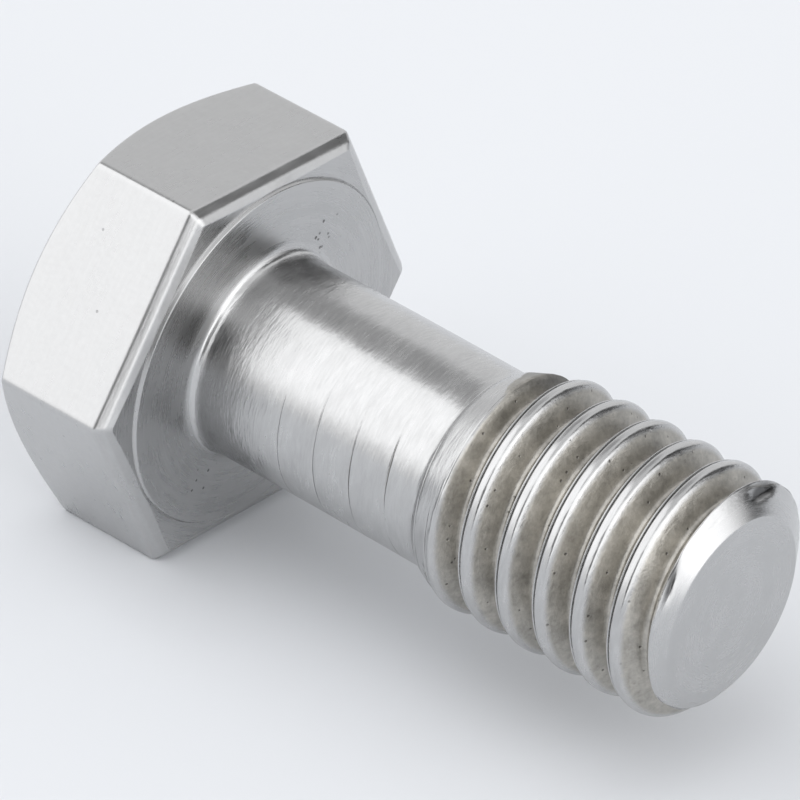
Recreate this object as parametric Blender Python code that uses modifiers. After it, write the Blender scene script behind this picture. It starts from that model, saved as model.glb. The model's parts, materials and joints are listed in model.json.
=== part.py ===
"""A hex bolt with a reduced plain shank and a short coarse thread, as one solid of bright steel.

The bolt lies along +X. The middle of the head's flat top is the origin, the thread's end points to +X,
and two of the six wrench flats face straight up and down.
"""

import math

import bmesh
import bpy

MM = 0.001

# Wrench head
ACROSS_FLATS = 12.5 * MM
HEAD_HEIGHT = 4.85 * MM  # head top to washer face
TOP_FLAT_RADIUS = 0.475 * ACROSS_FLATS
TOP_CHAMFER = math.radians(30)
RIM_ROUNDING = 0.34 * MM  # edge between the flats and the bearing side

# Bearing side of the head
WASHER_RADIUS = 5.72 * MM
WASHER_STEP = 0.1 * MM
CORNER_EASE_RADIUS = 6.15 * MM  # past this radius the underside falls towards the corners
CORNER_EASE = math.radians(15)

# Plain shank
SHANK_RADIUS = 3.28 * MM
SHANK_FILLET = 0.55 * MM
SHANK_LENGTH = 8.6 * MM  # washer face to the start of the thread

# Thread: 18 turns to the inch, right-handed
PITCH = 25.4 * MM / 18
THREAD_RADIUS = 3.97 * MM
ROOT_RADIUS = 3.16 * MM
CREST_WIDTH = 0.24 * PITCH
CREST_ROUNDING = 0.09 * MM
FLANK_ANGLE = math.radians(29)
RIDGE_START = 7.39 * MM  # from the washer face to the middle of the ridge, where its helix begins
TURNS = 9

# Where the shank was turned down, the first ridge is cut low and then steps up to full height
RELIEF_RADIUS = 3.6 * MM
RELIEF_LENGTH = 0.9 * MM
RELIEF_SLOPE = math.radians(45)

# Thread end
LENGTH_UNDER_HEAD = 18.3 * MM
TIP_FLAT_RADIUS = 2.99 * MM
TIP_CHAMFER = math.radians(33)  # from the end plane

# Fineness of the round surfaces
TURNED_STEPS = 64
CORE_STEPS = 48
RIDGE_STEPS = 36
ARC_POINTS = 5

# Spare material that a cut takes away, or that lies inside a neighbour
SPARE = 0.4 * MM

SHANK_END = HEAD_HEIGHT + SHANK_LENGTH
TIP = HEAD_HEIGHT + LENGTH_UNDER_HEAD
ALONG_X = (0, math.pi / 2, 0)  # turns a shape made along Z so that it lies along X


def clear_scene():
    for thing in list(bpy.data.objects):
        bpy.data.objects.remove(thing, do_unlink=True)


def new_collection(name):
    collection = bpy.data.collections.new(name)
    bpy.context.scene.collection.children.link(collection)
    return collection


def bright_steel():
    """Bright turned steel: a light neutral grey metal with a soft polish."""
    material = bpy.data.materials.new("bright_steel")
    material.use_nodes = True
    shader = material.node_tree.nodes["Principled BSDF"]
    shader.inputs["Base Color"].default_value = (0.62, 0.62, 0.63, 1)
    shader.inputs["Metallic"].default_value = 1
    shader.inputs["Roughness"].default_value = 0.3
    return material


def place(name, mesh, collection):
    """An object whose shape runs along its own Z, laid along X."""
    thing = bpy.data.objects.new(name, mesh)
    thing.rotation_euler = ALONG_X
    collection.objects.link(thing)
    return thing


def as_cutter(thing):
    thing.hide_render = True
    thing.display_type = "WIRE"
    return thing


def outline_mesh(name, points, closed):
    """Edges through (radius, height) points in the plane of X and Z."""
    edges = [(i, i + 1) for i in range(len(points) - 1)]
    if closed:
        edges.append((len(points) - 1, 0))
    mesh = bpy.data.meshes.new(name)
    mesh.from_pydata([(radius, 0, height) for radius, height in points], edges, [])
    return mesh


def screw(thing, steps, rise=0.0, turns=1, merge=True):
    modifier = thing.modifiers.new("turn", "SCREW")
    modifier.axis = "Z"
    modifier.steps = steps
    modifier.render_steps = steps
    modifier.screw_offset = rise
    modifier.iterations = turns
    modifier.use_merge_vertices = merge
    modifier.merge_threshold = 1e-6
    return modifier


def turned(name, points, steps, collection):
    """A solid of revolution from (radius, height) points that run from the top of its axis to the bottom."""
    thing = place(name, outline_mesh(name, points, closed=False), collection)
    screw(thing, steps)
    return thing


def arc(centre, radius, start, end):
    """Points on a circle's arc from one angle to another, in degrees, in the plane of the profile."""
    angles = [math.radians(start + (end - start) * i / (ARC_POINTS - 1)) for i in range(ARC_POINTS)]
    return [(centre[0] + radius * math.cos(a), centre[1] + radius * math.sin(a)) for a in angles]


def combine(thing, other, operation):
    modifier = thing.modifiers.new(operation.lower(), "BOOLEAN")
    modifier.operation = operation
    modifier.object = other
    modifier.solver = "EXACT"


def hexagon_bar(collection):
    """The hexagon stock, with the edge round its bearing end rounded. Its other end stands proud of the top."""
    end = HEAD_HEIGHT - WASHER_STEP
    length = end + SPARE
    bar = bmesh.new()
    bmesh.ops.create_cone(
        bar,
        cap_ends=True,
        segments=6,
        radius1=ACROSS_FLATS / math.sqrt(3),
        radius2=ACROSS_FLATS / math.sqrt(3),
        depth=length,
    )
    bmesh.ops.translate(bar, verts=bar.verts, vec=(0, 0, end - length / 2))
    rim = [edge for edge in bar.edges if min(v.co.z for v in edge.verts) > end - SPARE / 2]
    bmesh.ops.bevel(bar, geom=rim, offset=RIM_ROUNDING, segments=3, profile=0.5, affect="EDGES")
    mesh = bpy.data.meshes.new("hex_bolt")
    bar.to_mesh(mesh)
    bar.free()
    return place("hex_bolt", mesh, collection)


def head_turning(collection):
    """What the lathe leaves of the bar: a flat top with a chamfer, and an underside that falls to the corners."""
    outer = ACROSS_FLATS / math.sqrt(3) + SPARE
    inner = CORNER_EASE_RADIUS / 2
    underside = HEAD_HEIGHT - WASHER_STEP
    slope = math.tan(CORNER_EASE)
    points = [
        (0, underside + (CORNER_EASE_RADIUS - inner) * slope),
        (inner, underside + (CORNER_EASE_RADIUS - inner) * slope),
        (outer, underside - (outer - CORNER_EASE_RADIUS) * slope),
        (outer, (outer - TOP_FLAT_RADIUS) * math.tan(TOP_CHAMFER)),
        (TOP_FLAT_RADIUS, 0),
        (0, 0),
    ]
    return as_cutter(turned("head_turning", points, TURNED_STEPS, collection))


def stem(collection):
    """The washer face, the fillet and the plain shank, rooted inside the head and ending inside the thread."""
    fillet_centre = (SHANK_RADIUS + SHANK_FILLET, HEAD_HEIGHT + SHANK_FILLET)
    shank_stop = SHANK_END + SPARE / 2
    points = [
        (0, shank_stop),
        (SHANK_RADIUS, shank_stop),
        *arc(fillet_centre, SHANK_FILLET, 180, 270),
        (WASHER_RADIUS, HEAD_HEIGHT),
        (WASHER_RADIUS, HEAD_HEIGHT / 2),
        (0, HEAD_HEIGHT / 2),
    ]
    return as_cutter(turned("stem", points, TURNED_STEPS, collection))


def thread_core(collection):
    """The round bar at the bottom of the thread's groove, longer than the thread at both ends."""
    points = [
        (0, TIP + 2 * SPARE),
        (ROOT_RADIUS, TIP + 2 * SPARE),
        (ROOT_RADIUS, SHANK_END - 2 * SPARE),
        (0, SHANK_END - 2 * SPARE),
    ]
    return as_cutter(turned("thread_core", points, CORE_STEPS, collection))


def ridge_outline():
    """One turn's cross-section: a crest with eased edges, two straight flanks, and a foot inside the core."""
    depth = THREAD_RADIUS - ROOT_RADIUS
    crest = CREST_WIDTH / 2
    foot = crest + depth * math.tan(FLANK_ANGLE)
    ease = CREST_ROUNDING
    eased = crest + ease * math.tan(FLANK_ANGLE)
    half = [
        (ROOT_RADIUS - SPARE, foot),
        (ROOT_RADIUS, foot),
        (THREAD_RADIUS - ease, eased),
        (THREAD_RADIUS, crest - ease),
    ]
    return half + [(radius, -height) for radius, height in reversed(half)]


def thread_ridge(collection):
    """The right-handed helical ridge, closed at both ends."""
    start = HEAD_HEIGHT + RIDGE_START
    points = [(radius, start + height) for radius, height in ridge_outline()]
    guide = place("ridge_guide", outline_mesh("ridge_guide", points, closed=True), collection)
    screw(guide, RIDGE_STEPS, rise=PITCH, turns=TURNS, merge=False)
    bpy.context.view_layer.update()
    evaluated = guide.evaluated_get(bpy.context.evaluated_depsgraph_get())
    swept = bpy.data.meshes.new_from_object(evaluated)
    swept.name = "thread_ridge"
    bpy.data.objects.remove(guide, do_unlink=True)
    ridge = bmesh.new()
    ridge.from_mesh(swept)
    bmesh.ops.remove_doubles(ridge, verts=ridge.verts, dist=1e-7)
    bmesh.ops.holes_fill(ridge, edges=[edge for edge in ridge.edges if edge.is_boundary], sides=0)
    bmesh.ops.recalc_face_normals(ridge, faces=ridge.faces)
    ridge.to_mesh(swept)
    ridge.free()
    return as_cutter(place("thread_ridge", swept, collection))


def thread_limits(collection):
    """The turned shape that the thread stays inside: a stepped start at the shank and a chamfered end."""
    outer = THREAD_RADIUS + SPARE
    inner = SHANK_RADIUS - SPARE
    run = 1 / math.tan(RELIEF_SLOPE)  # length along the bolt for each unit of rise
    points = [
        (0, TIP),
        (TIP_FLAT_RADIUS, TIP),
        (outer, TIP - (outer - TIP_FLAT_RADIUS) * math.tan(TIP_CHAMFER)),
        (outer, SHANK_END + RELIEF_LENGTH + (outer - RELIEF_RADIUS) * run),
        (RELIEF_RADIUS, SHANK_END + RELIEF_LENGTH),
        (RELIEF_RADIUS, SHANK_END + (RELIEF_RADIUS - SHANK_RADIUS) * run),
        (inner, SHANK_END + (inner - SHANK_RADIUS) * run),
        (0, SHANK_END + (inner - SHANK_RADIUS) * run),
    ]
    return as_cutter(turned("thread_limits", points, TURNED_STEPS, collection))


def main():
    clear_scene()
    parts = new_collection("hex_bolt")
    cutters = new_collection("cutters")

    thread = thread_core(cutters)
    combine(thread, thread_ridge(cutters), "UNION")
    combine(thread, thread_limits(cutters), "INTERSECT")

    bolt = hexagon_bar(parts)
    combine(bolt, head_turning(cutters), "INTERSECT")
    combine(bolt, stem(cutters), "UNION")
    combine(bolt, thread, "UNION")
    bolt.data.materials.append(bright_steel())


main()
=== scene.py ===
# %% [markdown]
# # A hex bolt of bright steel
# The bolt is a single piece of steel. Its axis lies along X, the middle of the head's top is the origin, and
# the thread ends at the far end of X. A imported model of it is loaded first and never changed: it gives the
# sizes. One much finer surface, worked out below with numpy, then takes its place in the picture. It could
# be built from a prism, a cylinder and a screw joined by booleans, but booleans leave hard edges and untidy
# triangles where a thread fades into a shank. A surface that is one radius for each place along the axis and
# each angle round it has neither fault.

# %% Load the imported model
import json
import math

import bpy
import numpy as np
from mathutils import Matrix, Vector


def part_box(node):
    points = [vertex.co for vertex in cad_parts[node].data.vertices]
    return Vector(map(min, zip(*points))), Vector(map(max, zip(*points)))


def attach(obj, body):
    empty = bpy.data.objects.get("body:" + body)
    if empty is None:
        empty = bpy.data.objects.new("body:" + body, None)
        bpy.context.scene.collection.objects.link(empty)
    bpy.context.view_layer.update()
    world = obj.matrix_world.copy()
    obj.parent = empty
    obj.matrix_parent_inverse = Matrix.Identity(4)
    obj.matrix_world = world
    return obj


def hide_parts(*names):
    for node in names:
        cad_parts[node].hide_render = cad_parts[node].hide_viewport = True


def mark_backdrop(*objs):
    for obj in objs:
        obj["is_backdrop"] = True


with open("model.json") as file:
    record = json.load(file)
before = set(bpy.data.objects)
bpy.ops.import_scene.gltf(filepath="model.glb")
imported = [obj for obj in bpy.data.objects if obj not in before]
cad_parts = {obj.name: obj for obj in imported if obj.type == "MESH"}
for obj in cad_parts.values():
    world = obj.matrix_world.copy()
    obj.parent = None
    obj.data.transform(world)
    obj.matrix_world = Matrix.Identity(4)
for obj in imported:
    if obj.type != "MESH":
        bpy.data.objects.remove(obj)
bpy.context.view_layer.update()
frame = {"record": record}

# %% [markdown]
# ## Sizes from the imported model
# All lengths below are in millimetres, and MM turns them into the metres that Blender counts in. The whole
# length, the width across the flats and the head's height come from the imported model, so that the finer
# surface fits it exactly. Smaller sizes are set where they are first needed.

# %% Sizes
MM = 0.001
low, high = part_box("hex_bolt")
mounts = {mount["name"]: mount for mount in frame["record"]["mounts"]}
TIP = high.x / MM
APOTHEM = (high.z - low.z) / MM / 2
HEAD = mounts["bearing_face"]["pos_m"][0] / MM
print(f"length {TIP:.2f}, half across flats {APOTHEM:.3f}, head {HEAD:.2f}")

# %% [markdown]
# ## Angles round the axis
# Every ring of the bolt uses the same angles, so that one ring can be sewn to the next without a gap. Even
# steps would be simplest, but a hexagon does all its turning at its corners. The angles crowd together at
# the six corners, and are even between them.

# %% Angle columns
NEAR_CORNER = (0.4, 0.8, 1.3, 2.0, 3.0, 4.2)  # degrees on each side of a corner
EVEN_FROM = NEAR_CORNER[-1] + 1.4
FLAT_COLUMNS = 20


def angle_columns():
    """Angles from +Y towards +Z, in radians.

    Each sixth of the circle is the near angles before its corner, the corner, the near angles after it, and
    then even steps towards the next corner. Corner number k stands at 60 k degrees.
    """
    near = np.array(NEAR_CORNER)
    along = np.linspace(EVEN_FROM, 60 - EVEN_FROM, FLAT_COLUMNS)
    sixth = np.concatenate([-near[::-1], [0], near, along])
    return np.radians((sixth + 60 * np.arange(6)[:, None]).ravel())


ANGLES = angle_columns()
COLUMNS = len(ANGLES)
print("columns:", COLUMNS)

# %% [markdown]
# ## The hexagon
# The head's outline is a hexagon whose corners are slightly rounded, as forging and finishing leave them. A
# six-sided circle with a Bevel modifier would do, but its points wouldn't stand at the angles above. The
# distance from the axis has a short formula for a flat and another for a rounded corner.

# %% Hexagon
CORNER_RADIUS = 0.2
SIXTH = math.pi / 3


def hexagon(angles, apothem=APOTHEM, corner=CORNER_RADIUS):
    """Distance from the axis to a hexagon with rounded corners, at each angle.

    On a flat it is apothem / cos(angle from the flat's middle). On a corner it is the distance to an arc
    whose centre lies (apothem - corner) / cos(30 degrees) from the axis. The flat ends where the line from
    that centre, square to the flat, meets it.
    """
    from_middle = np.abs(np.mod(angles, SIXTH) - SIXTH / 2)
    flat = apothem / np.cos(from_middle)
    centre = (apothem - corner) / math.cos(SIXTH / 2)
    turn = SIXTH / 2 - from_middle
    inside = np.maximum(corner**2 - (centre * np.sin(turn)) ** 2, 0)
    arc = centre * np.cos(turn) + np.sqrt(inside)
    tangent = math.atan((apothem - corner) * math.tan(SIXTH / 2) / apothem)
    return np.where(from_middle <= tangent, flat, arc)


HEX = hexagon(ANGLES)
CORNERNESS = (HEX - HEX.min()) / (HEX.max() - HEX.min())  # 0 in the middle of a flat, 1 at a corner
print(f"hexagon: {2 * HEX.min():.2f} across flats, {2 * HEX.max():.2f} across corners")

# %% [markdown]
# ## The plain shank
# The shank is thinner than the thread: the blank was threaded first and then turned down. It didn't run
# quite true in the lathe, so the cut is a little off the thread's axis. A cylinder primitive would be
# perfectly true and end in a sharp step, so the cut is written as a radius that leans slowly to one side and
# then climbs a short ramp to the thread.

# %% The lathe's cut
SHANK = 3.29
SHANK_LENGTH = 8.55
SAG = math.radians(231)  # the side where the cut leaves the most metal
LEAN = 0.07
RAMP = ((8.6, 0), (8.85, 0.04), (9.05, 0.22), (9.9, 0.56), (10.1, 0.80), (10.6, 2))


def smooth_step(value, low, high):
    """0 below low, 1 above high, and between them 3 s^2 - 2 s^3 of the share s that has been passed."""
    share = np.clip((value - low) / (high - low), 0, 1)
    return share * share * (3 - 2 * share)


def turned_down(x, angle):
    """Radius of the lathe's cut.

    It is SHANK, plus LEAN times cos(angle - SAG) times the square of the share of the shank's length that
    has been passed, plus RAMP: pairs of a distance from the head and a rise, joined by straight lines.
    """
    run = x - HEAD
    shank = SHANK + LEAN * (run / SHANK_LENGTH) ** 2 * np.cos(angle - SAG)
    return shank + np.interp(run, *np.array(RAMP).T)


middle = turned_down(HEAD + SHANK_LENGTH / 2, ANGLES)
print(f"shank: radius {middle.min():.3f} to {middle.max():.3f} half way along")

# %% [markdown]
# ## The thread's cross-section
# A rolled thread isn't a plain triangle. Rolling squeezes metal up from both sides, so the crest is two lips
# pressed together with a fine seam between them. A Screw modifier could sweep this outline along the bolt,
# but it couldn't fade out or be cut by the lathe. As a table of radius against phase, it can be compared with
# any other cut.

# %% Cross-section
PITCH = 25.4 / 18
THREAD = 3.97
ROOT = 3.16
CREST_AT = HEAD + 11.978  # where one crest crosses the angle 0
CROSS_SECTION = (  # phase of the pitch, radius
    (-0.50, ROOT), (-0.44, ROOT + 0.02),  # root
    (-0.19, 3.79), (-0.176, 3.86), (-0.155, 3.905), (-0.132, 3.895), (-0.112, 3.77),  # flank and first lip
    (-0.100, 3.77), (-0.080, 3.93), (-0.05, 3.962), (0.02, THREAD), (0.08, 3.96),  # seam and second lip
    (0.12, 3.93), (0.16, 3.85), (0.19, 3.77), (0.43, ROOT + 0.03), (0.50, ROOT),  # flank and next root
)
SEAM_PHASE = -0.106
FINE_STEP = 0.001
BELL = 6.0  # width of the rounding, in fine steps


def cross_section(phase):
    """Radius at a phase of the pitch, from -0.5 to 0.5, where 0 is the middle of the crest.

    Straight lines join the pairs of CROSS_SECTION, and an average weighted by a bell curve rounds them.
    """
    fine = np.arange(-1.5, 1.5, FINE_STEP)
    wrapped = np.mod(fine + 0.5, 1) - 0.5
    radii = np.interp(wrapped, *np.array(CROSS_SECTION).T)
    bell = np.exp(-0.5 * (np.arange(-30, 31) / BELL) ** 2)
    smooth = np.convolve(radii, bell / bell.sum(), mode="same")
    return np.interp(phase, fine, smooth)


print(f"thread: pitch {PITCH:.3f}, crest {cross_section(0.02):.3f}, root {cross_section(0.5):.3f}")

# %% [markdown]
# ## What was left behind
# Three small marks tell how the bolt was made. The deepest part of each old thread root stayed in the turned
# shank as a faint dark line. Where the thread starts, the tool missed a strip of the blank's dark skin. And
# the chamfer at the end cuts across the last ridge, which leaves nicks. They could be painted on, but the
# lines and nicks catch light at their edges, so they have depth.

# %% Marks in the metal
FLANK = math.radians(29)
TRACE_PHASE = 0.47
TRACE_DEPTH = 0.075
SCAR_EDGE = ((20, 9.2), (55, 8.8), (75, 9.2), (97, 9.55), (110, 9.75))  # degrees, distance from the head
# distance from the head, degrees, half width, half arc in degrees, depth
NICKS = ((17.84, 68, 0.11, 9.5, 0.16), (17.93, 145, 0.07, 11, 0.09))
NICK_SLANT = 0.008


def in_degrees(angle):
    """The angle in degrees from -90 to 270, so that the jump lies far from the marks."""
    return np.mod(np.degrees(angle) + 90, 360) - 90


def trace_depth(x, angle):
    """Depth of what is left of each thread root in the shank.

    It is TRACE_DEPTH, less on the side away from SAG, broken into patches by two sines, and growing along
    the shank from nothing near the head.
    """
    run = (x - HEAD) / SHANK_LENGTH
    low_side = smooth_step(np.cos(angle - SAG), -0.6, 0.4)
    patches = 0.65 + 0.2 * np.sin(3 * angle + 5 * x) + 0.15 * np.sin(7 * angle - 3 * x)
    return TRACE_DEPTH * low_side * patches * smooth_step(run, 0.25, 0.45) * (0.6 + 0.4 * run)


def scar(x, angle):
    """1 on the blank's dark skin and 0 elsewhere.

    The skin lies past an edge given by SCAR_EDGE with two small ripples, ends before the second turn, and
    fades out at both ends of its arc.
    """
    degrees = in_degrees(angle)
    ripple = 0.03 * np.sin(degrees / 3.1) + 0.02 * np.sin(degrees / 1.3)
    edge = np.interp(degrees, *np.array(SCAR_EDGE).T) + ripple
    arc = smooth_step(degrees, 5, 30) * (1 - smooth_step(degrees, 96, 108))
    return arc * smooth_step(x - HEAD - edge, -0.02, 0.06) * (1 - smooth_step(x - HEAD, 9.9, 10.1))


def nicks(x, angle):
    """Depth of the nicks: for each, depth times exp(-(distance / half width)^2 - |turn / half arc|^2.6)."""
    depth = np.zeros(np.broadcast(x, angle).shape)
    for run, degrees, half_width, half_arc, deep in NICKS:
        around = np.mod(np.degrees(angle) - degrees + 180, 360) - 180
        beside = x - HEAD - run - NICK_SLANT * around
        depth += deep * np.exp(-((beside / half_width) ** 2) - np.abs(around / half_arc) ** 2.6)
    return depth


print(f"{len(NICKS)} nicks, deepest {max(nick[4] for nick in NICKS)}, traces up to {TRACE_DEPTH} deep")

# %% [markdown]
# ## The stem
# Shank, thread and end chamfer are one stem, and each is a limit: the metal reaches only as far as the least
# of them. Three meshes cut by booleans would meet in sharp, broken edges. Taking the least radius, slightly
# rounded where two cross, gives the thread's fade and the chamfered last turn for nothing. The same function
# says how dull and how dark the metal is, because that depends on which limit won.

# %% Stem radius
TIP_FLAT = 2.99
TIP_CHAMFER = math.radians(33)
FORMED = (9.3, 9.7)  # distances from the head between which traces grow into a thread


def soft_least(a, b, width):
    """The lesser of two radii: -width log(exp(-a / width) + exp(-b / width)), rounded where they cross."""
    return -width * np.logaddexp(-a / width, -b / width)


def end_limit(x):
    """The radius of the chamfer at the thread's end: TIP_FLAT + distance to the end / tan(TIP_CHAMFER)."""
    return TIP_FLAT + (TIP - x) / math.tan(TIP_CHAMFER)


def stem_radius(x, angle):
    """Radius of the stem, and how dull and how dark the metal is there, from 0 to 1.

    The phase is the distance to the nearest crest as a share of the pitch, less one whole pitch for each
    turn. The radius is the soft least of the lathe's cut, the thread and the chamfer, less the nicks. The
    metal is dull in the grooves, in the traces and on the skin, and dark in the seam and the nicks.
    """
    turns = (x - CREST_AT) / PITCH - angle / (2 * math.pi)
    phase = turns - np.round(turns)
    lathe = turned_down(x, angle)
    formed = smooth_step(x - HEAD, *FORMED)
    from_trace = np.abs(np.mod(phase - TRACE_PHASE + 0.5, 1) - 0.5)
    trace = lathe + 0.02 - trace_depth(x, angle) + from_trace * PITCH / math.tan(FLANK)
    thread = trace + (cross_section(phase) - trace) * formed
    cut = soft_least(thread, lathe, 0.008)
    chamfer = end_limit(x)
    nick = nicks(x, angle)
    radius = soft_least(cut, chamfer, 0.01) - nick

    polished = smooth_step(cut - chamfer, -0.02, 0.05)
    skin = scar(x, angle)
    groove = np.clip((THREAD - 0.02 - cut) / 0.28, 0, 1) * formed
    old_root = np.clip((lathe - cut - 0.012) / 0.03, 0, 1) * (1 - formed)
    dull = np.maximum(np.clip((lathe - thread) / 0.08, 0, 1) * groove + old_root, skin)
    in_seam = np.exp(-(((phase - SEAM_PHASE) / 0.022) ** 2))
    seam = formed * in_seam * np.clip((lathe - thread) / 0.05, 0, 1)
    dark_skin = 0.85 * skin * (1 - smooth_step(in_degrees(angle), 55, 105))
    lines = np.maximum(np.maximum(0.6 * seam, 0.8 * old_root), dark_skin) * (1 - polished)
    return radius, dull * (1 - polished), np.maximum(np.clip(nick / 0.08, 0, 1), lines)


print(f"stem at the end: radius {stem_radius(TIP, ANGLES)[0].max():.3f}")

# %% [markdown]
# ## Rows that follow the helix
# Straight rings would cross the thread at a slant, and crest, seam and root would come out as a staircase.
# Each row here keeps one phase of the thread and climbs one pitch in a turn, so the rows run along the crest
# like the real tool. They lie closest at the lips and the seam. Rows that stick out past the two ends are
# folded on to plain rings when the surface is sewn.

# %% Stem rows
STEM_START = HEAD + 0.75
STEM_STOP = TIP - 0.30
ROW_PHASES = (
    -0.46, -0.40, -0.33, -0.26,  # flank
    -0.215, -0.19, -0.175, -0.158, -0.142, -0.128, -0.116, -0.106, -0.096,  # first lip and seam
    -0.084, -0.068, -0.04, 0.0, 0.045, 0.085, 0.115, 0.14, 0.17,  # second lip
    0.23, 0.31, 0.39, 0.435, 0.458, 0.47, 0.482, 0.505,  # flank and root
)


def stem_grid():
    """x and angle of every point of the stem, and the number of rows in one turn.

    x is CREST_AT plus the pitch times (a whole turn, plus a row phase, plus the angle as a share of a turn).
    """
    first = math.floor((STEM_START - CREST_AT) / PITCH) - 2
    final = math.ceil((STEM_STOP - CREST_AT) / PITCH) + 1
    whole = np.arange(first, final + 1)
    helix = (whole[:, None] + np.array(ROW_PHASES)[None, :]).ravel()
    x = CREST_AT + PITCH * (helix[:, None] + ANGLES[None, :] / (2 * math.pi))
    return x, np.broadcast_to(ANGLES[None, :], x.shape), len(ROW_PHASES)


print(f"stem: {stem_grid()[0].shape[0]} rows of {COLUMNS} points")

# %% [markdown]
# ## A path with eased corners
# No turned or forged edge is truly sharp, and a sharp one looks false because it never catches the light. A
# Bevel modifier rounds every edge alike. Here a profile is a chain of corners, each with its own ease, and
# every corner becomes a short curve from one straight run into the next.


# %% Eased path
def eased_path(corners, zones, spans, steps=4):
    """Rows of (x, radius) over all columns, and the zone of each band between rows.

    Each corner is (x, radius, ease). Its curve is (1 - t)^2 leave + 2 t (1 - t) corner + t^2 enter, where
    leave lies a distance of ease before the corner and enter the same distance after it. The straight run
    before a corner is cut into its number of spans.
    """
    points = [np.stack(np.broadcast_arrays(x, r, np.zeros(COLUMNS))[:2]) for x, r, _ in corners]
    rows, bands = [points[0]], []
    start = points[0]
    for k in range(1, len(points)):
        here = points[k]
        last = k == len(points) - 1
        ease = 0 if last else corners[k][2]
        before = here - start
        run = np.maximum(np.hypot(*before), 1e-9)
        leave = here - before / run * np.minimum(ease, 0.95 * run)
        for s in np.linspace(0, 1, spans[k - 1] + 1)[1:]:
            rows.append(start + (leave - start) * s)
            bands.append(zones[k - 1])
        start = leave
        if last or np.max(ease) == 0:
            start = here
            continue
        after = points[k + 1] - here
        length = np.maximum(np.hypot(*after), 1e-9)
        enter = here + after / length * np.minimum(ease, 0.48 * length)
        for t in np.linspace(0, 1, steps + 1)[1:]:
            rows.append((1 - t) ** 2 * leave + 2 * t * (1 - t) * here + t**2 * enter)
            bands.append(zones[k - 1] if t <= 0.5 else zones[k])
        start = enter
    return np.array(rows), bands


# %% [markdown]
# ## The head
# From the middle of the top outwards and down: a flat top, a chamfer that leaves an arch on each flat, the
# six wrench flats, a rim of two small facets, the underside, a fine groove round the washer face, the washer
# face itself, and the fillet into the shank. Each zone of it takes its own finish. A chamfer cut by a
# boolean cone would leave long thin triangles, while here its edge simply follows the hexagon's radius.

# %% Head
TOP, FLATS, BEARING, STEM, END = range(5)
TOP_FLAT = 5.94
TOP_CHAMFER = math.radians(30)
WASHER = 5.72
FILLET = 0.42


def head_path():
    """Head top, chamfer, flats, rim, underside, washer face, fillet and the first ring of the shank.

    The chamfer meets the flats at x = (hexagon's radius - TOP_FLAT) tan(TOP_CHAMFER).
    """
    chamfer_x = (HEX - TOP_FLAT) * math.tan(TOP_CHAMFER)
    corners = [
        (0, 0, 0),
        (0, TOP_FLAT, 0.1),
        (chamfer_x, HEX, 0.08),
        (HEAD - 0.47, HEX, 0.10),  # the rim begins
        (HEAD - 0.21, HEX - 0.21 - 0.05 * CORNERNESS, 0.07),  # its first facet ends
        (HEAD - 0.09, np.maximum(HEX - 0.50, WASHER + 0.07), 0.04),  # its second facet ends
        (HEAD - 0.10, WASHER + 0.04, 0.015),  # the groove round the washer face
        (HEAD - 0.12, WASHER + 0.015, 0.01),
        (HEAD, WASHER - 0.04, 0.03),
        (HEAD, SHANK, FILLET),
        (STEM_START, stem_radius(STEM_START, ANGLES)[0], 0),
    ]
    zones = [TOP, TOP, FLATS, FLATS, FLATS, BEARING, BEARING, BEARING, BEARING, STEM]
    spans = [6, 3, 10, 1, 1, 2, 1, 1, 6, 1]
    return eased_path(corners, zones, spans, steps=6)


print(f"head: {len(head_path()[0])} rings")

# %% [markdown]
# ## The end
# The last of the chamfer and the flat face it runs out in. Most of the chamfer belongs to the stem, where it
# cuts through the thread. Near the very end no thread is left, and plain rings close it with the least fuss.

# %% End
LAST_RINGS = np.array([0.30, 0.24, 0.18, 0.12, 0.07])  # distances from the end
FACE_DEPTH = 0.075  # nearer than this to the end, all is end face


def end_path():
    """Rings down the last of the chamfer, an eased corner, and rings to the middle of the flat face."""
    down = [(x, stem_radius(x, ANGLES)[0], 0) for x in TIP - LAST_RINGS]
    corners = [*down, (TIP, TIP_FLAT, 0.05), (TIP, 0, 0)]
    return eased_path(corners, [END] * 6, [1] * 5 + [7], steps=4)


print(f"end: {len(end_path()[0])} rings")

# %% [markdown]
# ## Sewing the surface
# Head, stem and end are grids of points, and the bolt is closed when they share their border rings. They
# could be joined and their doubles merged by distance, but a merge can close the fine seam too. Here the
# points are numbered once, and the stem's rows that stick out past a border take the numbers of its ring, so
# their triangles collapse and are dropped. The last column of a helical row meets the first column one
# whole turn further on.


# %% Sew
def ring_numbers(start, rows):
    """Point numbers of plain rings, with the first column repeated at the end to close each ring."""
    grid = start + np.arange(rows * COLUMNS).reshape(rows, COLUMNS)
    return np.concatenate([grid, grid[:, :1]], axis=1)


def stem_numbers(x, start, per_turn, ring_before, ring_after):
    """Point numbers of the stem's rows, folded on to the rings before and after it."""
    numbers = start + np.arange(x.size).reshape(x.shape)
    numbers = np.where(x <= STEM_START + 1e-6, ring_before[None, :], numbers)
    numbers = np.where(x >= STEM_STOP - 1e-6, ring_after[None, :], numbers)
    numbers = np.concatenate([numbers, np.full((per_turn, COLUMNS), ring_after[None, :])])
    beyond = np.concatenate([numbers[per_turn:, :1], np.full((per_turn, 1), ring_after[0])])
    return np.concatenate([numbers, beyond], axis=1)


def split_cells(grid, zone):
    """Two triangles for each cell of a grid of point numbers, facing away from the axis, and their zones."""
    a, b, c, d = grid[:-1, :-1], grid[1:, :-1], grid[1:, 1:], grid[:-1, 1:]
    halves = [np.stack(half, axis=-1).reshape(-1, 3) for half in ((c, b, a), (d, c, a))]
    return np.concatenate(halves), np.tile(np.broadcast_to(zone, a.shape).ravel(), 2)


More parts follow.
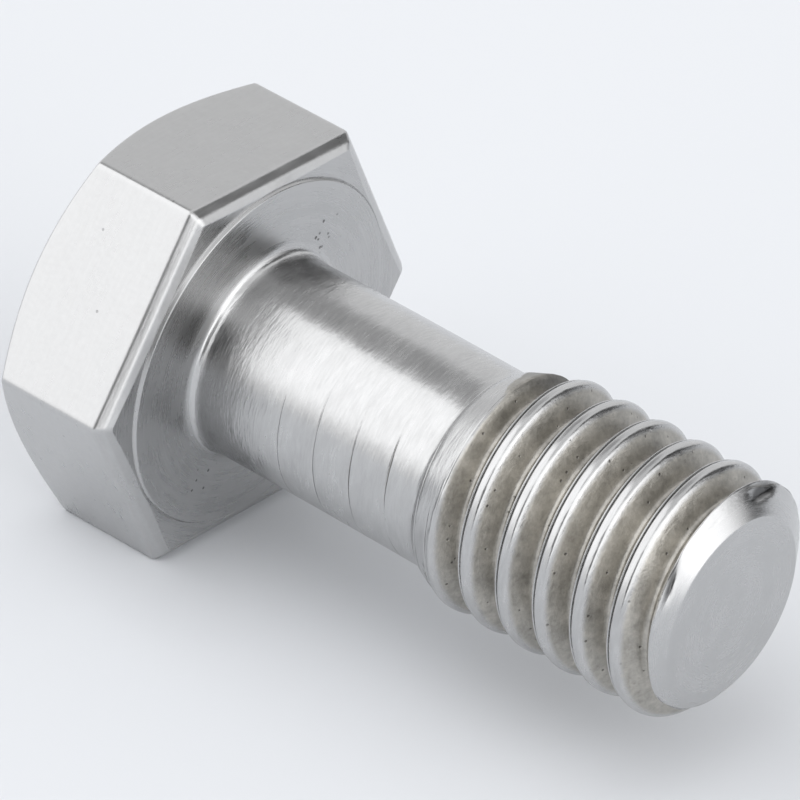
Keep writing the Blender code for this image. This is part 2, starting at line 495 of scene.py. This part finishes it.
def assemble():
    """Points in metres, triangles, the zone of each triangle, and the dull and dark values of each point.

    A point at x, angle and radius lies at (x, radius cos(angle), radius sin(angle)).
    """
    head, head_zones = head_path()
    end = end_path()[0]
    head, end = head[1:], end[:-1]  # the first and last rows are the two poles
    x, angle, per_turn = stem_grid()
    radius, dull, dark = stem_radius(x, angle)

    stem_start = 1 + len(head) * COLUMNS
    end_start = stem_start + x.size
    pole = end_start + len(end) * COLUMNS
    head_grid = ring_numbers(1, len(head))
    end_grid = ring_numbers(end_start, len(end))
    stem = stem_numbers(x, stem_start, per_turn, head_grid[-1, :-1], end_grid[0, :-1])
    first, last = head_grid[0], end_grid[-1]
    top_fan = np.stack([first[1:], first[:-1], np.zeros(COLUMNS, int)], axis=-1)
    end_fan = np.stack([last[1:], np.full(COLUMNS, pole), last[:-1]], axis=-1)
    parts = [
        split_cells(head_grid, np.array(head_zones[1:])[:, None]),
        split_cells(stem, STEM),
        split_cells(end_grid, END),
        (top_fan, np.full(COLUMNS, TOP)),
        (end_fan, np.full(COLUMNS, END)),
    ]
    faces = np.concatenate([part[0] for part in parts])
    zones = np.concatenate([part[1] for part in parts])
    whole = (np.diff(faces, axis=1) != 0).all(axis=1) & (faces[:, 0] != faces[:, 2])
    faces, zones = faces[whole], zones[whole]

    end_angle = np.broadcast_to(ANGLES, end[:, 0].shape)
    off_face = end[:, 0] <= TIP - FACE_DEPTH
    _, end_dull, end_dark = stem_radius(end[:, 0], end_angle)
    bright_head = np.zeros(stem_start)
    dull = np.concatenate([bright_head, dull.ravel(), (end_dull * off_face).ravel(), [0]])
    dark = np.concatenate([bright_head, dark.ravel(), (end_dark * off_face).ravel(), [0]])
    along = np.concatenate([[0], head[:, 0].ravel(), x.ravel(), end[:, 0].ravel(), [TIP]])
    out = np.concatenate([[0], head[:, 1].ravel(), radius.ravel(), end[:, 1].ravel(), [0]])
    turn = np.concatenate([[0], np.tile(ANGLES, len(head)), angle.ravel(), end_angle.ravel(), [0]])
    points = np.stack([along, out * np.cos(turn), out * np.sin(turn)], axis=-1) * MM
    used, faces = np.unique(faces, return_inverse=True)
    return points[used], faces.reshape(-1, 3), zones, {"dull": dull[used], "dark": dark[used]}


points, faces, zones, attributes = assemble()
print(f"sewn: {len(points)} points, {len(faces)} triangles")

# %% [markdown]
# ## The mesh
# The arrays go into Blender whole, which takes a moment where adding points one by one would take minutes.
# Two attributes, dull and dark, travel with the points for the finish to read. Two tests follow: every edge
# must belong to two triangles, or the surface has a hole, and the volume must come out positive, or the
# faces point inwards.


# %% Mesh
def mesh_from(name, points, faces, zones, attributes):
    """A smooth mesh of triangles with a material number on each and float attributes on the points."""
    mesh = bpy.data.meshes.new(name)
    mesh.vertices.add(len(points))
    mesh.vertices.foreach_set("co", points.astype(np.float32).ravel())
    mesh.loops.add(faces.size)
    mesh.loops.foreach_set("vertex_index", faces.astype(np.int32).ravel())
    mesh.polygons.add(len(faces))
    mesh.polygons.foreach_set("loop_start", np.arange(0, faces.size, 3, dtype=np.int32))
    mesh.polygons.foreach_set("material_index", zones.astype(np.int32))
    for key, values in attributes.items():
        layer = mesh.attributes.new(key, "FLOAT", "POINT")
        layer.data.foreach_set("value", values.astype(np.float32))
    mesh.update(calc_edges=True)
    mesh.validate()
    mesh.shade_smooth()
    return mesh


bolt = bpy.data.objects.new("bolt", mesh_from("bolt", points, faces, zones, attributes))
bpy.context.scene.collection.objects.link(bolt)
a, b, c = (points[faces[:, k]] for k in range(3))
volume = np.einsum("ij,ij->i", a, np.cross(b, c)).sum() / 6
edges = np.sort(np.concatenate([faces[:, [0, 1]], faces[:, [1, 2]], faces[:, [2, 0]]]), axis=1)
counts = np.unique(edges, axis=0, return_counts=True)[1]
print(f"bolt: volume {volume / MM**3:.0f} mm3, open edges {(counts != 2).sum()}")

# %% [markdown]
# ## A helper for finishes
# A material in Blender is a tree of nodes, and each pattern here takes a dozen of them. Placed and linked
# one by one they would hide what they do, so a small class makes each node and links it in one call. All
# patterns read Object coordinates in millimetres, which stay with the bolt when it moves.


# %% Node helper
class Finish:
    """A material whose nodes are made by short calls. A value is a number, a tuple or another's output."""

    def __init__(self, name, **settings):
        """A shader with these settings, and sockets mm, x, y and z: the place on the bolt in millimetres."""
        self.material = bpy.data.materials.new(name)
        self.material.use_nodes = True
        self.tree = self.material.node_tree
        self.shader = self.tree.nodes["Principled BSDF"]
        for key, value in settings.items():
            self.shader.inputs[key.replace("_", " ")].default_value = value
        self.mm = self.vector("SCALE", self.new("ShaderNodeTexCoord").outputs["Object"], scale=1 / MM)
        self.x, self.y, self.z = self.parts(self.mm)

    def new(self, kind, **settings):
        """A node with these settings."""
        node = self.tree.nodes.new(kind)
        for key, value in settings.items():
            setattr(node, key, value)
        return node

    def put(self, socket, value):
        """Links an output to the socket, or sets the socket to a number."""
        if isinstance(value, bpy.types.NodeSocket):
            self.tree.links.new(value, socket)
        else:
            socket.default_value = value

    def math(self, operation, *values):
        """The result of a Math node."""
        node = self.new("ShaderNodeMath", operation=operation)
        for socket, value in zip(node.inputs, values):
            self.put(socket, value)
        return node.outputs[0]

    def vector(self, operation, *values, scale=None):
        """The vector that a Vector Math node gives."""
        node = self.new("ShaderNodeVectorMath", operation=operation)
        for socket, value in zip(node.inputs, values):
            self.put(socket, value)
        if scale is not None:
            self.put(node.inputs["Scale"], scale)
        return node.outputs[0]

    def parts(self, vector):
        """The three numbers of a vector or a colour."""
        node = self.new("ShaderNodeSeparateXYZ")
        self.put(node.inputs[0], vector)
        return node.outputs

    def combine(self, x, y, z):
        """A vector from three numbers."""
        node = self.new("ShaderNodeCombineXYZ")
        for socket, value in zip(node.inputs, (x, y, z)):
            self.put(socket, value)
        return node.outputs[0]

    def noise(self, vector, scale=1.0, detail=2.0, roughness=0.5):
        """Noise about 0.5, with this many changes in a millimetre of the vector."""
        node = self.new("ShaderNodeTexNoise")
        self.put(node.inputs["Vector"], vector)
        for key, value in (("Scale", scale), ("Detail", detail), ("Roughness", roughness)):
            node.inputs[key].default_value = value
        return node.outputs["Fac"]

    def ramp(self, value, low, high, start=0.0, end=1.0):
        """start below low, end above high, and an S-curve between."""
        node = self.new("ShaderNodeMapRange", interpolation_type="SMOOTHSTEP")
        for socket, item in zip(node.inputs, (value, low, high, start, end)):
            self.put(socket, item)
        return node.outputs[0]

    def mix(self, share, first, second, kind="RGBA"):
        """first where share is 0, second where it is 1, as colours or, with kind FLOAT, as numbers."""
        node = self.new("ShaderNodeMix", data_type=kind)
        a, b, result = (6, 7, 2) if kind == "RGBA" else (2, 3, 0)
        self.put(node.inputs[0], share)
        self.put(node.inputs[a], first)
        self.put(node.inputs[b], second)
        return node.outputs[result]

    def attribute(self, name):
        """An attribute of the mesh."""
        return self.new("ShaderNodeAttribute", attribute_name=name).outputs["Fac"]

    def round_axis(self):
        """Distance from the axis, and the unit direction away from it as (y, z)."""
        flat = self.combine(0.0, self.y, self.z)
        radius = self.new("ShaderNodeVectorMath", operation="LENGTH")
        self.put(radius.inputs[0], flat)
        _, across, up = self.parts(self.vector("NORMALIZE", flat))
        return radius.outputs["Value"], across, up

    def bump(self, height, distance):
        """Bends the shading by a height of up to this distance in millimetres."""
        node = self.new("ShaderNodeBump")
        node.inputs["Distance"].default_value = distance * MM
        self.put(node.inputs["Height"], height)
        self.put(self.shader.inputs["Normal"], node.outputs[0])


print("node helper ready")

# %% [markdown]
# ## Patterns that several finishes share
# A lathe tool leaves fine rings, and noise stretched round the axis looks like them. Reading the direction
# from the axis instead of the angle leaves no seam where the angle jumps. Pits are small dots, one in some
# of the cells of a Voronoi pattern. All of them only nudge a base value, so the metal stays even from afar.


# %% Shared patterns
def marks(made, along, rate, lap):
    """Noise that changes rate times in a millimetre along the feed, and lap times a radian round the axis."""
    _, across, up = made.round_axis()
    place = [made.math("MULTIPLY", value, times) for value, times in ((along, rate), (across, lap), (up, lap))]
    return made.noise(made.combine(*place), detail=3.0, roughness=0.6)


def specks(made, spacing, size, share):
    """1 on small round pits, 0 elsewhere: cells of this spacing, of which this share holds a pit."""
    cells = made.new("ShaderNodeTexVoronoi")
    made.put(cells.inputs["Vector"], made.mm)
    cells.inputs["Scale"].default_value = 1 / spacing
    pit = made.ramp(cells.outputs["Distance"], size * 0.5 / spacing, size / spacing, 1, 0)
    chosen = made.math("LESS_THAN", made.parts(cells.outputs["Color"])[0], share)
    return made.math("MULTIPLY", pit, chosen)


def blend(made, base, *terms):
    """base + the sum of (value - 0.5) * amount over the terms."""
    total = base
    for value, amount in terms:
        change = made.math("MULTIPLY", made.math("SUBTRACT", value, 0.5), amount)
        total = made.math("ADD", total, change)
    return total


def darkened(made, value, mask, amount):
    """value * (1 - mask * amount)."""
    return made.math("MULTIPLY", value, made.math("SUBTRACT", 1, made.math("MULTIPLY", mask, amount)))


def steel(made, value, tint=(1.0, 1.0, 1.0)):
    """The colour of steel at a brightness that varies: brightness times tint."""
    return made.combine(*[made.math("MULTIPLY", value, part) for part in tint])


SMOOTHEST = 0.08
print("patterns: tool marks, pits, blends")

# %% [markdown]
# ## The washer face's pits and painted reflection
# The face that bears on the work has two loose groups of corrosion pits, and beside the shank a dark patch
# of painted reflection: the shank's mirror image darkened into the face's colour. Pits all over would look
# like sand. A mask that is 1 only near chosen places keeps the pits in their groups, and the same distance
# gives the soft patch of painted reflection.

# %% Pits and the painted reflection
PIT_GROUPS = ((4.1, 52), (4.3, 238))  # distance from the axis, degrees
PIT_REACH = 0.8
# painted reflection: a dark patch where the washer face mirrors the shank, darkening its colour
PAINTED_REFLECTION_SPOT = (3.9, 147)
PAINTED_REFLECTION_REACH = 1.3
PAINTED_REFLECTION_LEAST = 0.52


def distance_from(made, radius, degrees):
    """Distance in millimetres from a place on the washer face."""
    turn = math.radians(degrees)
    node = made.new("ShaderNodeVectorMath", operation="DISTANCE")
    made.put(node.inputs[0], made.mm)
    node.inputs[1].default_value = (HEAD, radius * math.cos(turn), radius * math.sin(turn))
    return node.outputs["Value"]


def pit_groups(made):
    """1 on the pits that lie within PIT_REACH of a group's middle."""
    near = 0.0
    for group in PIT_GROUPS:
        close = made.ramp(distance_from(made, *group), PIT_REACH * 0.7, PIT_REACH, 1, 0)
        near = made.math("MAXIMUM", near, close)
    return made.math("MULTIPLY", near, specks(made, 0.30, 0.075, 0.9))


def painted_shank_reflection(made):
    """Painted reflection of the shank: a factor from the least value in the patch's middle to 1 at its reach.
    """
    return made.ramp(distance_from(made, *PAINTED_REFLECTION_SPOT), 0.2, PAINTED_REFLECTION_REACH, PAINTED_REFLECTION_LEAST, 1.0)


print(f"{len(PIT_GROUPS)} groups of pits")

# %% [markdown]
# ## Turned faces
# The head's top, the washer face and the end were all faced on a lathe, with the tool moving outwards. Real
# turned metal is a spiral groove a few hundredths of a millimetre wide. Modelling it would take millions of
# triangles, so it is bump, with colour and roughness that change with it, over a slow cloudiness.


# %% Turned faces
def turned(name, colour, roughness, streak, lap, marked=False):
    """Bright metal left by a lathe tool that moved outwards: streak is the strength of its marks."""
    made = Finish(name, Metallic=1.0)
    radius, _, _ = made.round_axis()
    fine = marks(made, radius, 13, lap)
    broad = marks(made, radius, 2.6, lap * 0.5)
    cloud = made.noise(made.mm, scale=0.9, detail=3)
    pit = pit_groups(made) if marked else 0.0
    value = blend(made, colour, (fine, 0.10 * streak), (broad, 0.10 * streak), (cloud, 0.06))
    value = darkened(made, value, pit, 0.7)
    if marked:
        # painted reflection of the shank darkens the face's colour beside it
        value = made.math("MULTIPLY", value, painted_shank_reflection(made))
    made.put(made.shader.inputs["Base Color"], steel(made, value))
    rough = blend(made, roughness, (cloud, 0.12), (fine, 0.16), (broad, 0.12))
    made.put(made.shader.inputs["Roughness"], made.math("MAXIMUM", rough, SMOOTHEST))
    made.bump(blend(made, 0.5, (fine, 0.55), (broad, 1.2), (pit, -1.5)), 0.010 * streak)
    return made.material


turned_top = turned("turned_top", 0.52, 0.30, 1.0, lap=5.0)
faced_bearing = turned("faced_bearing", 0.50, 0.28, 0.8, lap=2.5, marked=True)
turned_end = turned("turned_end", 0.52, 0.26, 0.4, lap=2.5)
print("turned faces:", turned_top.name, faced_bearing.name, turned_end.name)

# %% [markdown]
# ## Wrench flats
# The flats are ground, so they are more even than turned metal: faint straight streaks across the bolt's
# axis, a soft grain and a few pits. An anisotropic shader could stretch the highlight, but the flats mirror
# the room as smooth greys. Noise squeezed along the axis gives the streaks.


# %% Wrench flats
def ground_flats():
    """Ground metal: noise that changes nine times in a millimetre along the axis, and slowly across it."""
    made = Finish("ground_flats", Metallic=1.0)
    place = [made.math("MULTIPLY", side, rate) for side, rate in ((made.x, 9), (made.y, 0.8), (made.z, 0.8))]
    streak = made.noise(made.combine(*place), detail=3, roughness=0.65)
    grain = made.noise(made.mm, scale=6.0, detail=3)
    cloud = made.noise(made.mm, scale=0.6, detail=2)
    pit = specks(made, 0.9, 0.06, 0.25)
    value = blend(made, 0.53, (streak, 0.07), (grain, 0.05), (cloud, 0.05))
    made.put(made.shader.inputs["Base Color"], steel(made, darkened(made, value, pit, 0.35)))
    made.put(made.shader.inputs["Roughness"], blend(made, 0.30, (streak, 0.14), (cloud, 0.10)))
    made.bump(blend(made, 0.5, (streak, 0.7), (grain, 0.5), (pit, -0.8)), 0.006)
    return made.material


flats = ground_flats()
print("flats:", flats.name)

# %% [markdown]
# ## Shank and thread
# The turned shank and the rubbed crests are bright, while the grooves keep the dull brown-grey stain of the
# rolled blank. Two materials would meet in a hard line along the triangles. One material that reads the
# mesh's own dull and dark attributes passes from one finish to the other, and a little noise on the way
# makes the stain's edge ragged. A painted highlight brightens the fillet's base colour, and painted shade
# greys the shank's base colour close to the head.

# %% Shank and thread
STAIN_TINT = (1.04, 1.0, 0.92)
# painted highlight: the fillet's base colour is raised by this factor
PAINTED_FILLET_HIGHLIGHT = 1.45
# painted shade: the shank's base colour close to the head is lowered to this share
PAINTED_HEAD_SHADE = 0.78


def stem_finish():
    """Bright turned metal where dull is 0 and stained grooves where it is 1, darkened by pits and by dark."""
    made = Finish("turned_stem", Metallic=1.0)
    dull, dark = made.attribute("dull"), made.attribute("dark")
    fine = marks(made, made.x, 13, 6)
    broad = marks(made, made.x, 2.6, 3)
    cloud = made.noise(made.mm, scale=0.9, detail=3)
    stain = made.noise(made.mm, scale=1.3, detail=4, roughness=0.65)
    grit = made.noise(made.mm, scale=7.0, detail=3, roughness=0.7)
    grooved = made.ramp(blend(made, dull, (grit, 0.35), (stain, 0.2)), 0.16, 0.85)
    pit = made.math("MULTIPLY", specks(made, 0.36, 0.055, 0.6), grooved)

    # painted shade near the head, a greyer base colour fading out along the shank
    head_shade = made.ramp(made.x, HEAD + 0.5, HEAD + 3.6, PAINTED_HEAD_SHADE, 1.0)
    # painted highlight on the fillet, a brighter base colour
    fillet_highlight = made.ramp(made.x, HEAD + 0.25, HEAD + 0.5, PAINTED_FILLET_HIGHLIGHT, 1.0)
    bright = blend(made, 0.52, (fine, 0.16), (broad, 0.14), (cloud, 0.06))
    bright = made.math("MULTIPLY", bright, made.math("MULTIPLY", head_shade, fillet_highlight))
    brown = made.math("MAXIMUM", blend(made, 0.41, (stain, 0.5), (grit, 0.28), (fine, 0.10)), 0.1)
    colour = made.mix(grooved, steel(made, bright), steel(made, brown, STAIN_TINT))
    lost = made.math("MAXIMUM", made.math("MULTIPLY", pit, 0.6), made.math("MULTIPLY", dark, 0.8))
    kept = made.math("SUBTRACT", 1, lost)
    made.put(made.shader.inputs["Base Color"], made.vector("SCALE", colour, scale=kept))

    smooth_part = blend(made, 0.24, (fine, 0.16), (cloud, 0.12), (broad, 0.10))
    rough_part = blend(made, 0.40, (stain, 0.2), (grit, 0.14))
    rough = made.mix(grooved, smooth_part, rough_part, kind="FLOAT")
    made.put(made.shader.inputs["Roughness"], made.math("MAXIMUM", rough, SMOOTHEST))
    groove_grit = made.math("MULTIPLY", grit, grooved)
    made.bump(blend(made, 0.5, (fine, 0.55), (broad, 1.2), (groove_grit, 0.9), (pit, -1.5)), 0.014)
    return made.material


turned_stem = stem_finish()
print("shank and thread:", turned_stem.name)

# %% [markdown]
# ## Finishes on the bolt
# The zones of the surface are numbers, and the materials go on in the same order. The bolt then takes the
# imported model's place in the picture, and stays fixed to the only body there is.

# %% Put the finishes on
for material in (turned_top, flats, faced_bearing, turned_stem, turned_end):
    bolt.data.materials.append(material)

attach(bolt, "root")
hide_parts("hex_bolt")
print("finishes:", [material.name for material in bolt.data.materials])

# %% [markdown]
# ## Table
# Bright metal shows what is round it more than it shows itself, so the table matters: its pale grey is what
# the underside of the bolt mirrors. It is one plain sheet, wide enough that its edge is never seen, just
# under the lower wrench flat. A modelled backdrop with a curve would only add a dark bend to the reflection.

# %% Table
TABLE_HALF = 2.0  # metres
TABLE_GAP = 0.01
PAPER = (0.73, 0.745, 0.77, 1)


def table():
    """A square sheet, TABLE_GAP below the lowest flat."""
    half, height = TABLE_HALF, low.z - TABLE_GAP * MM
    corners = [(-half, -half, height), (half, -half, height), (half, half, height), (-half, half, height)]
    mesh = bpy.data.meshes.new("table")
    mesh.from_pydata(corners, [], [(0, 1, 2, 3)])
    thing = bpy.data.objects.new("table", mesh)
    bpy.context.scene.collection.objects.link(thing)
    paper = Finish("white_paper", Roughness=0.9)
    paper.shader.inputs["Base Color"].default_value = PAPER
    mesh.materials.append(paper.material)
    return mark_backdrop(thing)


table()
print(f"table at z = {low.z / MM - TABLE_GAP:.2f}")

# %% [markdown]
# ## Light tent
# Shiny parts are lit inside a white tent, with brighter and darker cards set where the metal will mirror
# them. Area lights with cards of real mesh would do it, but every one would have to be kept out of view and
# would add noise. A world whose brightness depends on the direction does the same with soft edges. The first
# card is the key light above and beside the bolt, and the dark ones give the rims their dark lines.

# %% Light tent
TENT, DARKEST = 0.94, 0.06
TENT_COLOUR = (0.985, 0.99, 1.0, 1)
CARDS = (
    # direction, cosine where it begins, cosine where it is full, brightness added
    ((-0.45, -0.77, 0.46), 0.55, 0.60, 0.84),  # key
    ((0.0, -0.60, -0.80), 0.22, 0.52, -0.80),  # lets the key fade towards the table
    ((0.86, -0.38, 0.31), 0.74, 0.90, 1.0),  # bright, for the crests
    ((0.86, 0.42, 0.26), 0.88, 0.95, 1.10),  # bright, for the rim's lower facet
    ((0.49, 0.68, 0.56), 0.93, 0.975, -0.95),  # dark, for the rim's upper facet
    ((0.46, -0.76, 0.42), 0.90, 0.97, -1.6),  # dark, mirrored beside the shank
    ((-0.50, 0.36, 0.79), 0.93, 0.985, -0.48),  # darker, along the shank's upper side
    ((0.55, 0.80, 0.05), 0.89, 0.97, -0.9),  # dark, for the tops of the grooves
)


def light_tent():
    """A world whose strength is the greater of DARKEST and TENT plus all the cards.

    A card adds its brightness times an S-curve of the cosine between the view and its direction.
    """
    world = bpy.data.worlds.new("light_tent")
    bpy.context.scene.world = world
    world.use_nodes = True
    nodes, links = world.node_tree.nodes, world.node_tree.links
    direction = nodes.new("ShaderNodeTexCoord").outputs["Generated"]
    total = None
    for way, begins, full, brightness in CARDS:
        dot = nodes.new("ShaderNodeVectorMath")
        dot.operation = "DOT_PRODUCT"
        links.new(direction, dot.inputs[0])
        dot.inputs[1].default_value = Vector(way).normalized()
        card = nodes.new("ShaderNodeMapRange")
        card.interpolation_type = "SMOOTHSTEP"
        links.new(dot.outputs["Value"], card.inputs["Value"])
        for key, value in (("From Min", begins), ("From Max", full), ("To Min", 0), ("To Max", brightness)):
            card.inputs[key].default_value = value
        add = nodes.new("ShaderNodeMath")
        add.operation = "ADD"
        links.new(card.outputs[0], add.inputs[0])
        if total is None:
            add.inputs[1].default_value = TENT
        else:
            links.new(total, add.inputs[1])
        total = add.outputs[0]
    least = nodes.new("ShaderNodeMath")
    least.operation = "MAXIMUM"
    least.inputs[1].default_value = DARKEST
    links.new(total, least.inputs[0])
    background = nodes["Background"]
    links.new(least.outputs[0], background.inputs["Strength"])
    background.inputs["Color"].default_value = TENT_COLOUR


light_tent()
print(f"light tent: {len(CARDS)} cards")

# %% [markdown]
# ## Camera
# A long lens from a good distance, as for a catalogue, so that the bolt's far end is hardly smaller than its
# near end. The camera looks down at the thread's end from one side, with a slight roll. Its axes are worked
# out from these angles and written straight into its matrix, which is exact where a Track To constraint
# would leave out the roll.

# %% Camera
AZIMUTH, ELEVATION, ROLL = (math.radians(a) for a in (36.2945, 32.5799, 7.0022))
DISTANCE = 261.34
LENS, SENSOR = 392.2, 36
AIM_ALONG, AIM_UP = 5.525, 0.83875  # past the washer face along the bolt, and up the picture


def camera():
    """Camera at aim + DISTANCE times the unit vector back towards it, turned by ROLL about that vector."""
    flat = math.cos(ELEVATION)
    back = Vector((math.sin(AZIMUTH) * flat, -math.cos(AZIMUTH) * flat, math.sin(ELEVATION)))
    level = Vector((math.cos(AZIMUTH), math.sin(AZIMUTH), 0))
    above = back.cross(level)
    right = level * math.cos(ROLL) + above * math.sin(ROLL)
    up = above * math.cos(ROLL) - level * math.sin(ROLL)
    aim = Vector((HEAD + AIM_ALONG, 0, 0)) + up * AIM_UP
    place = (aim + back * DISTANCE) * MM
    data = bpy.data.cameras.new("camera")
    data.lens = LENS
    data.sensor_width = SENSOR
    data.clip_start = 0.01
    data.clip_end = 10
    thing = bpy.data.objects.new("camera", data)
    columns = zip(right, up, back, place)
    thing.matrix_world = Matrix((*columns, (0, 0, 0, 1)))
    bpy.context.scene.collection.objects.link(thing)
    bpy.context.scene.camera = thing
    return thing


eye = camera()
bpy.context.scene.view_settings.view_transform = "Standard"
print("camera at, mm:", [round(c / MM, 1) for c in eye.matrix_world.translation])
